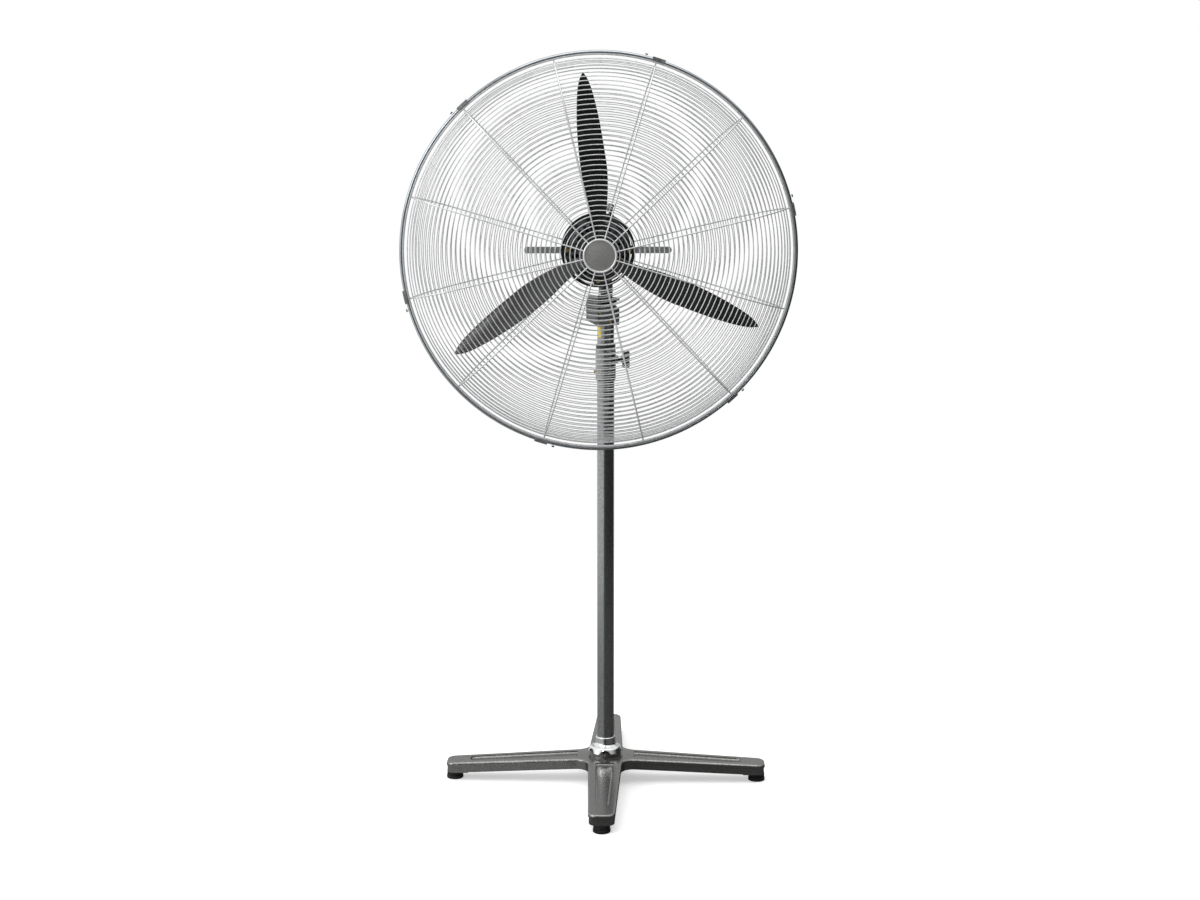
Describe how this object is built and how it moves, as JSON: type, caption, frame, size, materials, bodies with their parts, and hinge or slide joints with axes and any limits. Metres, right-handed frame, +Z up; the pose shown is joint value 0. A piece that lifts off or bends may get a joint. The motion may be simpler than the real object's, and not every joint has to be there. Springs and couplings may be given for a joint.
{
  "type": "pedestal fan",
  "caption": "Industrial pedestal fan with a cast four-armed base, telescopic pole, caged three-blade head that tilts and oscillates, and a rotary speed switch.",
  "frame": {"origin": "on the floor under the pole axis", "axes": "+Z up along the pole, the fan blows towards -Y, +X is to the right seen from the front"},
  "size_m": [0.8304, 0.725, 1.623],
  "materials": {
    "hammertone": "grey hammertone enamel",
    "cast_hammertone": "grey hammertone enamel on cast iron",
    "chrome": "bright plated",
    "wire": "plated steel wire",
    "bezel": "bright satin aluminium",
    "enamel": "smooth grey enamel",
    "steel": "machined steel",
    "zinc": "zinc plated",
    "brass": "bright brass",
    "rubber": "matt black rubber",
    "black_plastic": "fine textured black",
    "black_paint": "satin black",
    "dark_paint": "dark grey satin",
    "rim_paint": "grey enamel",
    "badge": "brushed, no lettering",
    "strap": "grey painted flat bar",
    "copper": "varnished copper and laminations",
    "label": "plain yellow film, blank",
    "nylon": "natural nylon"
  },
  "bodies": {
    "base": {"base_casting": "cast_hammertone", "rubber_feet": "rubber", "foot_screws": "zinc", "base_bolt": "zinc", "pole_plug": "steel", "base_cap": "chrome", "cap_screws": "zinc", "lower_pole": "hammertone", "height_collar": "hammertone", "collar_band": "black_plastic", "collar_screw": "brass"},
    "height_knob": {"height_knob": "black_plastic", "height_screw": "black_paint"},
    "mast": {"inner_tube": "chrome", "neck_casting": "hammertone", "neck_screws": "brass", "tilt_bolt": "zinc", "switch_box": "enamel", "box_cover": "enamel", "cover_screws": "brass", "rotary_switch": "black_plastic", "capacitor": "black_plastic", "terminal_block": "nylon", "cable_gland": "black_plastic", "cable_box": "dark_paint", "blank_label": "label"},
    "speed_knob": {"speed_knob": "black_plastic"},
    "tilt_lever": {"tilt_lever": "black_paint"},
    "bracket": {"tilt_bracket": "dark_paint", "swivel_spindle": "steel", "link_pin": "steel"},
    "link": {"link_rod": "zinc"},
    "head": {"gearbox_housing": "dark_paint", "gearbox_cover": "dark_paint", "motor_casing": "dark_paint", "front_bell": "dark_paint", "rear_bell": "dark_paint", "stator": "copper", "bearings": "steel", "guard_ring": "black_paint", "side_straps": "strap", "guard_screws": "brass", "rear_spokes": "wire", "rear_face_rings": "wire", "rear_side_rings": "wire", "front_spokes": "wire", "front_face_rings": "wire", "front_side_rings": "wire", "rim_band": "rim_paint", "rim_clips": "zinc", "clip_screws": "black_plastic", "badge_plate": "badge", "badge_ring": "bezel"},
    "osc_knob": {"osc_knob": "black_plastic"},
    "crank": {"crank": "steel"},
    "fan": {"fan_blades": "black_paint", "fan_hub": "black_paint", "blade_bolts": "black_paint", "fan_shaft": "steel", "shaft_nut": "zinc"}
  },
  "joints": [
    {"name": "mast_height", "type": "slide", "parent": "base", "child": "mast", "axis": [0, 0, 1], "range_m": [0, 0.33]},
    {"name": "height_knob_turn", "type": "hinge", "parent": "base", "child": "height_knob", "pos_m": [0, 0, 0.962], "axis": [1, 0, 0], "range_deg": [0, 720]},
    {"name": "speed_knob_turn", "type": "hinge", "parent": "mast", "child": "speed_knob", "pos_m": [-0.0295, 0.024, 1.086], "axis": [0, 1, 0], "range_deg": [0, 270]},
    {"name": "head_tilt", "type": "hinge", "parent": "mast", "child": "bracket", "pos_m": [0, 0, 1.092], "axis": [1, 0, 0], "range_deg": [-15, 18]},
    {"name": "tilt_lever_turn", "type": "hinge", "parent": "mast", "child": "tilt_lever", "pos_m": [0.015, 0, 1.092], "axis": [1, 0, 0], "range_deg": [-60, 0]},
    {"name": "head_swing", "type": "hinge", "parent": "bracket", "child": "head", "pos_m": [0, 0, 1.14], "axis": [0, 0, 1], "range_deg": [-47.8, 42.2]},
    {"name": "osc_knob_pull", "type": "slide", "parent": "head", "child": "osc_knob", "axis": [0, 0, 1], "range_m": [0, 0.006]},
    {"name": "crank_turn", "type": "hinge", "parent": "head", "child": "crank", "pos_m": [-0.02315, 0.0229, 1.1375], "axis": [0, 0, 1], "range_deg": [-100, 100]},
    {"name": "link_swing", "type": "hinge", "parent": "bracket", "child": "link", "pos_m": [0.0055, 0.03, 1.1285], "axis": [0, 0, 1], "range_deg": [-40, 40]},
    {"name": "fan_spin", "type": "hinge", "parent": "head", "child": "fan", "pos_m": [-0.01072, -0.16973, 1.2075], "axis": [0.0488, -0.9988, 0], "continuous": true}
  ],
  "couplings": [
    {"joint": "crank_turn", "follows": "head_swing", "ratio": 2},
    {"joint": "link_swing", "follows": "head_swing", "ratio": 0.7}
  ]
}
